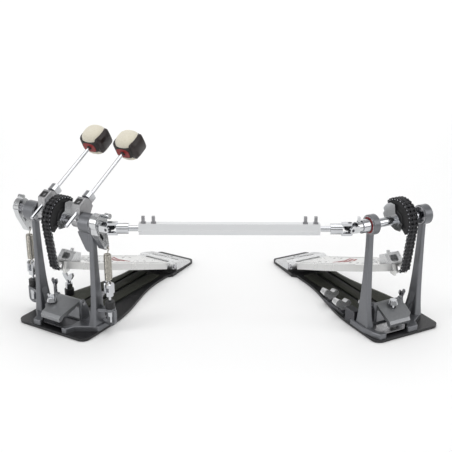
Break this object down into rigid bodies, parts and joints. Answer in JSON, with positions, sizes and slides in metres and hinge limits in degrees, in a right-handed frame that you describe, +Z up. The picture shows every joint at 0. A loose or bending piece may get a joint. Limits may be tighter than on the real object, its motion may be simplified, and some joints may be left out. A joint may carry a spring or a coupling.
{
  "type": "double bass drum pedal",
  "caption": "Double bass drum pedal: main pedal with chain-driven beaters and return springs, remote pedal, and a telescopic drive shaft with universal joints between them.",
  "frame": {"origin": "bottom centre of the bounding box, on the floor under the middle of the whole assembly", "axes": "+X from the main pedal to the remote pedal along the drive shaft, +Y towards the player, +Z up"},
  "size_m": [0.7113, 0.3721, 0.3094],
  "materials": {
    "black_base": "satin",
    "grey_casting": "satin",
    "dark_casting": "satin",
    "bright_aluminium": "satin",
    "chrome": "gloss",
    "steel": "satin",
    "spring_steel": "satin",
    "chain_black": "gloss",
    "felt": "matte",
    "black_felt": "matte",
    "black_plastic": "satin"
  },
  "bodies": {
    "main_frame": {"main_base_plate": "black_base", "main_heel_plate": "bright_aluminium", "main_foot_casting": "grey_casting", "main_outer_tower": "grey_casting", "main_inner_tower": "grey_casting", "main_bearings_and_pins": "steel", "main_hoop_rest": "chrome", "main_spur_screws": "steel", "spring_tensioners": "chrome", "outer_spring": "steel", "inner_spring": "steel"},
    "main_axle": {"main_axle": "steel", "main_cam": "chrome", "main_cam_wheel": "black_felt", "main_chain_wrap": "chain_black", "beater_a_hub": "dark_casting", "outer_rocker": "dark_casting"},
    "inner_shaft": {"inner_shaft": "steel", "beater_b_hub": "dark_casting", "inner_rocker": "dark_casting", "main_yoke": "dark_casting"},
    "beater_a_rod": {"beater_a_rod": "chrome"},
    "beater_a_head": {"beater_a_head": "felt"},
    "beater_b_rod": {"beater_b_rod": "chrome"},
    "beater_b_head": {"beater_b_head": "felt"},
    "main_chain_run": {"main_chain_run": "chain_black"},
    "main_footboard": {"main_footboard": "bright_aluminium"},
    "main_toe_stop": {"main_toe_stop": "bright_aluminium"},
    "main_clamp_jaw": {"main_clamp_jaw": "spring_steel"},
    "main_clamp_screw": {"main_clamp_screw": "chrome"},
    "drum_key": {"drum_key": "chrome"},
    "outer_spring_knob": {"outer_spring_knob": "black_plastic"},
    "inner_spring_knob": {"inner_spring_knob": "black_plastic"},
    "main_spider": {"main_spider": "steel"},
    "drive_tube": {"main_drive_rod": "chrome", "drive_tube": "bright_aluminium", "tube_screws": "chrome"},
    "remote_frame": {"remote_base_plate": "black_base", "remote_heel_plate": "bright_aluminium", "remote_foot_casting": "grey_casting", "remote_outer_tower": "grey_casting", "remote_inner_tower": "grey_casting", "remote_bearings_and_pins": "steel", "remote_hoop_rest": "chrome", "remote_spur_screws": "steel", "leg_clamp_plate": "dark_casting"},
    "remote_axle": {"remote_axle": "chrome", "remote_cam": "chrome", "remote_cam_wheel": "black_felt", "remote_chain_wrap": "chain_black", "remote_yoke": "dark_casting"},
    "remote_chain_run": {"remote_chain_run": "chain_black"},
    "remote_footboard": {"remote_footboard": "bright_aluminium"},
    "remote_toe_stop": {"remote_toe_stop": "bright_aluminium"},
    "remote_clamp_jaw": {"remote_clamp_jaw": "spring_steel"},
    "remote_clamp_screw": {"remote_clamp_screw": "chrome"},
    "remote_spider": {"remote_spider": "steel"},
    "remote_drive_rod": {"remote_drive_rod": "chrome"},
    "leg_clamp_wing_a": {"leg_clamp_wing_a": "bright_aluminium"},
    "leg_clamp_wing_b": {"leg_clamp_wing_b": "bright_aluminium"}
  },
  "joints": [
    {"name": "beater_a_swing", "type": "hinge", "parent": "main_frame", "child": "main_axle", "pos_m": [-0.2678, -0.1101, 0.19], "axis": [0.8545, -0.5195, 0], "range_deg": [0, 60], "stiffness_Nm_per_rad": 0.9, "springref_deg": -40.11, "deforming": ["outer_spring"]},
    {"name": "beater_b_swing", "type": "hinge", "parent": "main_frame", "child": "inner_shaft", "pos_m": [-0.22508, -0.13608, 0.19], "axis": [0.8545, -0.5195, 0], "range_deg": [0, 60], "stiffness_Nm_per_rad": 1.1, "springref_deg": -40.11, "deforming": ["inner_spring"]},
    {"name": "main_footboard_tilt", "type": "hinge", "parent": "main_frame", "child": "main_footboard", "pos_m": [-0.13584, 0.10693, 0.018], "axis": [0.8545, -0.5195, 0], "range_deg": [0, 7.32]},
    {"name": "main_chain_travel", "type": "hinge", "parent": "main_axle", "child": "main_chain_run", "pos_m": [-0.28314, -0.13532, 0.20431], "axis": [0.8545, -0.5195, 0], "range_deg": [-66, 0]},
    {"name": "telescope", "type": "slide", "parent": "main_frame", "child": "remote_frame", "axis": [1, -0.0088, 0], "range_m": [-0.012, 0.06]},
    {"name": "remote_axle_swing", "type": "hinge", "parent": "remote_frame", "child": "remote_axle", "pos_m": [0.2812, -0.1205, 0.19], "axis": [0.8862, 0.4633, 0], "range_deg": [0, 60]},
    {"name": "remote_footboard_tilt", "type": "hinge", "parent": "remote_frame", "child": "remote_footboard", "pos_m": [0.16352, 0.1046, 0.018], "axis": [0.8862, 0.4633, 0], "range_deg": [0, 7.32]},
    {"name": "remote_chain_travel", "type": "hinge", "parent": "remote_axle", "child": "remote_chain_run", "pos_m": [0.29488, -0.14666, 0.20431], "axis": [0.8862, 0.4633, 0], "range_deg": [-66, 0]},
    {"name": "drive_tube_spin", "type": "hinge", "parent": "main_frame", "child": "drive_tube", "pos_m": [-0.18065, -0.16309, 0.19], "axis": [1, -0.0088, 0], "range_deg": [0, 65.1]},
    {"name": "remote_drive_rod_spin", "type": "hinge", "parent": "remote_frame", "child": "remote_drive_rod", "pos_m": [0.19347, -0.16637, 0.19], "axis": [1, -0.0088, 0], "range_deg": [0, 65.1]},
    {"name": "main_spider_tilt", "type": "hinge", "parent": "inner_shaft", "child": "main_spider", "pos_m": [-0.18065, -0.16309, 0.19], "axis": [-0.5195, -0.8545, 0], "range_deg": [-29.4, 0]},
    {"name": "remote_spider_tilt", "type": "hinge", "parent": "remote_axle", "child": "remote_spider", "pos_m": [0.19347, -0.16637, 0.19], "axis": [0.4633, -0.8862, 0], "range_deg": [0, 26.7]},
    {"name": "beater_a_reach", "type": "slide", "parent": "main_axle", "child": "beater_a_rod", "axis": [0.4544, 0.7473, 0.4848], "range_m": [0, 0.022]},
    {"name": "beater_a_face", "type": "hinge", "parent": "beater_a_rod", "child": "beater_a_head", "pos_m": [-0.22447, 0.02468, 0.28403], "axis": [0.4544, 0.7473, 0.4848], "continuous": true},
    {"name": "beater_b_reach", "type": "slide", "parent": "inner_shaft", "child": "beater_b_rod", "axis": [0.4544, 0.7473, 0.4848], "range_m": [0, 0.022]},
    {"name": "beater_b_face", "type": "hinge", "parent": "beater_b_rod", "child": "beater_b_head", "pos_m": [-0.1621, -0.01324, 0.28403], "axis": [0.4544, 0.7473, 0.4848], "continuous": true},
    {"name": "main_toe_stop_slide", "type": "slide", "parent": "main_footboard", "child": "main_toe_stop", "axis": [-0.4894, -0.8049, 0.3355], "range_m": [-0.012, 0.006]},
    {"name": "remote_toe_stop_slide", "type": "slide", "parent": "remote_footboard", "child": "remote_toe_stop", "axis": [0.4365, -0.8349, 0.3355], "range_m": [-0.012, 0.006]},
    {"name": "main_jaw_close", "type": "hinge", "parent": "main_frame", "child": "main_clamp_jaw", "pos_m": [-0.26572, -0.10668, 0.041], "axis": [0.8545, -0.5195, 0], "range_deg": [0, 8]},
    {"name": "main_clamp_screw_travel", "type": "slide", "parent": "main_frame", "child": "main_clamp_screw", "axis": [0, 0, 1], "range_m": [-0.00202, 0]},
    {"name": "remote_jaw_open", "type": "hinge", "parent": "remote_frame", "child": "remote_clamp_jaw", "pos_m": [0.27935, -0.11696, 0.041], "axis": [0.8862, 0.4633, 0], "range_deg": [-13, 0]},
    {"name": "remote_clamp_screw_travel", "type": "slide", "parent": "remote_frame", "child": "remote_clamp_screw", "axis": [0, 0, 1], "range_m": [0, 0.00295]},
    {"name": "drum_key_lift", "type": "slide", "parent": "main_frame", "child": "drum_key", "axis": [0, 0, 1], "range_m": [0, 0.04]},
    {"name": "outer_spring_knob_turn", "type": "hinge", "parent": "main_frame", "child": "outer_spring_knob", "pos_m": [-0.33438, -0.05792, 0.05], "axis": [0, 0, 1], "continuous": true},
    {"name": "inner_spring_knob_turn", "type": "hinge", "parent": "main_frame", "child": "inner_spring_knob", "pos_m": [-0.18912, -0.14623, 0.05], "axis": [0, 0, 1], "continuous": true},
    {"name": "leg_clamp_wing_a_turn", "type": "hinge", "parent": "remote_frame", "child": "leg_clamp_wing_a", "pos_m": [0.20408, -0.08522, 0.018], "axis": [0, 0, 1], "continuous": true},
    {"name": "leg_clamp_wing_b_turn", "type": "hinge", "parent": "remote_frame", "child": "leg_clamp_wing_b", "pos_m": [0.18859, -0.04479, 0.018], "axis": [0, 0, 1], "continuous": true}
  ],
  "couplings": [
    {"joint": "main_footboard_tilt", "follows": "beater_a_swing", "ratio": 0.122},
    {"joint": "main_chain_travel", "follows": "beater_a_swing", "ratio": -1.1},
    {"joint": "remote_axle_swing", "follows": "beater_b_swing", "ratio": 1},
    {"joint": "remote_footboard_tilt", "follows": "beater_b_swing", "ratio": 0.122},
    {"joint": "remote_chain_travel", "follows": "beater_b_swing", "ratio": -1.1},
    {"joint": "drive_tube_spin", "follows": "beater_b_swing", "ratio": 1.085},
    {"joint": "remote_drive_rod_spin", "follows": "beater_b_swing", "ratio": 1.085},
    {"joint": "main_spider_tilt", "follows": "beater_b_swing", "ratio": -0.49},
    {"joint": "remote_spider_tilt", "follows": "beater_b_swing", "ratio": 0.445},
    {"joint": "main_clamp_screw_travel", "follows": "main_jaw_close", "m_per_rad": -0.0145},
    {"joint": "remote_clamp_screw_travel", "follows": "remote_jaw_open", "m_per_rad": -0.013}
  ]
}
